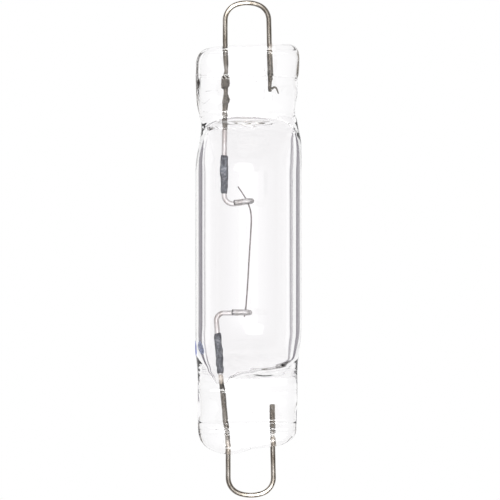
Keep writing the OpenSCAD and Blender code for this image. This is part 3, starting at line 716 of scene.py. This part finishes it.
ink, tree, shader = new_material("blue_marking_ink", Roughness=0.5)
smear = maths(tree, "MULTIPLY", noise_on_object(tree, 3200, 4), 0.3)
tint = add_ramp(tree, maths(tree, "ADD", vertex_tone(tree), smear), [
    (0.10, (0.03, 0.05, 0.30)), (0.20, (0.05, 0.09, 0.42)), (0.60, (0.30, 0.36, 0.66)),
    (1.0, (0.52, 0.58, 0.86))])
tree.links.new(tint, shader.inputs["Base Color"])
mesh_piece("blue_ink_dab", [ink_dab()], ink, "ink_mark",
           tones=np.repeat([INNER_TONE, OUTER_TONE], MARK_RINGS * MARK_SIDES))


# Pale floor. The camera, metal and glass see it plain white, and other rays meet a matt pale board. A
# strip of painted shade lies on it at each side of the lamp, where dark cards would stand round a product
# shot of glass. Only light that came through the glass sees the painted shade, and it draws the dark bands
# along the tube's edges.
FLOOR_HALF = 0.6
# Each painted shade strip's low and high X, and how far its edge is soft; then the Y where both strips end
RIGHT_SHADE_STRIP = (0.0057, 0.0086, 0.0003)
LEFT_SHADE_STRIP = (-0.0101, -0.0068, 0.0004)
SHADE_STRIPS_END_Y, SHADE_STRIPS_GONE_Y = 0.0102, 0.011

floor_mesh = bpy.data.meshes.new("pale_floor")
floor_mesh.from_pydata([(-FLOOR_HALF, -FLOOR_HALF, 0), (FLOOR_HALF, -FLOOR_HALF, 0),
                        (FLOOR_HALF, FLOOR_HALF, 0), (-FLOOR_HALF, FLOOR_HALF, 0)], [], [(0, 1, 2, 3)])
floor = bpy.data.objects.new("pale_floor", floor_mesh)
bpy.context.scene.collection.objects.link(floor)
floor_look = bpy.data.materials.new("pale_floor")
floor_look.use_nodes = True
floor_mesh.materials.append(floor_look)
tree = floor_look.node_tree
tree.nodes.clear()


def split_place(tree, coordinates):
    """The coordinates asked for, and a node with their X, Y and Z."""
    place = tree.nodes.new("ShaderNodeTexCoord").outputs[coordinates]
    split = tree.nodes.new("ShaderNodeSeparateXYZ")
    tree.links.new(place, split.inputs[0])
    return place, split.outputs


def smooth_range(tree, value, start, end):
    """0 at start, 1 at end, and 3t squared less 2t cubed between them."""
    edge = tree.nodes.new("ShaderNodeMapRange")
    edge.interpolation_type = "SMOOTHSTEP"
    edge.inputs["From Min"].default_value = start
    edge.inputs["From Max"].default_value = end
    tree.links.new(value, edge.inputs["Value"])
    return edge.outputs["Result"]


def painted_shade_strip(tree, across, low, high, soft):
    """1 where X lies between low and high in metres, falling to 0 over `soft` outside them."""
    return maths(tree, "MULTIPLY", smooth_range(tree, across, low - soft, low),
                 smooth_range(tree, across, high + soft, high))


rays = tree.nodes.new("ShaderNodeLightPath").outputs
_, spot = split_place(tree, "Object")
# Painted shade on the floor, seen only by rays that came through the glass.
painted_shade = maths(tree, "MAXIMUM", painted_shade_strip(tree, spot["X"], *RIGHT_SHADE_STRIP), painted_shade_strip(tree, spot["X"], *LEFT_SHADE_STRIP))
painted_shade = maths(tree, "MULTIPLY", painted_shade, smooth_range(tree, spot["Y"], SHADE_STRIPS_GONE_Y, SHADE_STRIPS_END_Y))
painted_shade = maths(tree, "MULTIPLY", painted_shade, rays["Is Transmission Ray"])
white_or_painted_shade = mix_colours(tree, "MIX", painted_shade, (1, 1, 1, 1), (0.19, 0.172, 0.205, 1))
seen = maths(tree, "MAXIMUM", rays["Is Camera Ray"],
             maths(tree, "MAXIMUM", rays["Is Glossy Ray"], rays["Is Transmission Ray"]))
paint = tree.nodes.new("ShaderNodeBsdfDiffuse")
paint.inputs["Color"].default_value = (0.85, 0.85, 0.86, 1)
glow = tree.nodes.new("ShaderNodeEmission")
tree.links.new(white_or_painted_shade, glow.inputs["Color"])
both = tree.nodes.new("ShaderNodeMixShader")
for number, value in enumerate((seen, paint.outputs[0], glow.outputs[0])):
    tree.links.new(value, both.inputs[number])
out = tree.nodes.new("ShaderNodeOutputMaterial")
tree.links.new(both.outputs[0], out.inputs["Surface"])


# Studio. The camera sees white. Metal sees a soft sky, dark round the horizon and white overhead, with
# two round soft boxes that make the white breaks and streaks on the wires. Light that came through glass
# meets a paler sky, so that the shoulders stay clear.
SOFT_BOX_RIM = 27
SOFT_BOX_FALL = 2.5
SOFT_BOX_STRENGTH = 15.0

world = bpy.data.worlds.new("studio")
bpy.context.scene.world = world
world.use_nodes = True
tree = world.node_tree
tree.nodes.clear()


def soft_box(tree, view, azimuth, polar):
    """A round soft light seen in a direction: how far the direction's dot product with the light's is from
    the cosine of its rim to 1, smoothed, to the power SOFT_BOX_FALL, times its strength."""
    a, p = math.radians(azimuth), math.radians(polar)
    dot = tree.nodes.new("ShaderNodeVectorMath")
    dot.operation = "DOT_PRODUCT"
    tree.links.new(view, dot.inputs[0])
    dot.inputs[1].default_value = (math.sin(p) * math.cos(a), math.sin(p) * math.sin(a), math.cos(p))
    edge = smooth_range(tree, dot.outputs["Value"], math.cos(math.radians(SOFT_BOX_RIM)), 1.0)
    return maths(tree, "MULTIPLY", maths(tree, "POWER", edge, SOFT_BOX_FALL), SOFT_BOX_STRENGTH)


rays = tree.nodes.new("ShaderNodeLightPath").outputs
direction, heading = split_place(tree, "Generated")
metal_sky = add_ramp(tree, heading["Z"], [
    (0.0, (0.16, 0.14, 0.135)), (0.45, (0.24, 0.23, 0.23)), (0.78, (0.60, 0.60, 0.62)),
    (0.97, (1.0, 1.0, 1.0))])
glass_sky = add_ramp(tree, heading["Z"], [
    (0.0, (0.9, 0.9, 0.9)), (0.15, (0.6, 0.58, 0.58)), (0.6, (0.70, 0.68, 0.70)), (0.9, (1.0, 1.0, 1.0)),
    (0.97, (1.7, 1.7, 1.7))])
boxes = maths(tree, "ADD", soft_box(tree, direction, 112, 28), soft_box(tree, direction, -66, 28))
metal_sky = mix_colours(tree, "ADD", 1.0, metal_sky, boxes)
sky = mix_colours(tree, "MIX", rays["Is Transmission Ray"], metal_sky, glass_sky)
sky = mix_colours(tree, "MIX", rays["Is Camera Ray"], sky, (1, 1, 1, 1))
light = tree.nodes.new("ShaderNodeBackground")
tree.links.new(sky, light.inputs["Color"])
out = tree.nodes.new("ShaderNodeOutputWorld")
tree.links.new(light.outputs[0], out.inputs["Surface"])


# Camera. It looks straight down on the flat of the pinches, the upper loop to the top of the picture,
# from far enough for almost parallel lines. FRAME_SPAN is what the frame covers at the tube's axis.
CAMERA_X, CAMERA_Y, CAMERA_HEIGHT = 0.000134, -0.000089, 0.5
FRAME_SPAN = 0.04472
SENSOR = 36
camera_data = bpy.data.cameras.new("camera")
camera_data.sensor_width = SENSOR
camera_data.lens = SENSOR * (CAMERA_HEIGHT - AXIS_Z * MM) / FRAME_SPAN
camera_data.clip_start = 0.01
camera = bpy.data.objects.new("camera", camera_data)
camera.location = (CAMERA_X, CAMERA_Y, CAMERA_HEIGHT)
bpy.context.scene.collection.objects.link(camera)
bpy.context.scene.camera = camera

bpy.context.scene.view_settings.view_transform = "Standard"
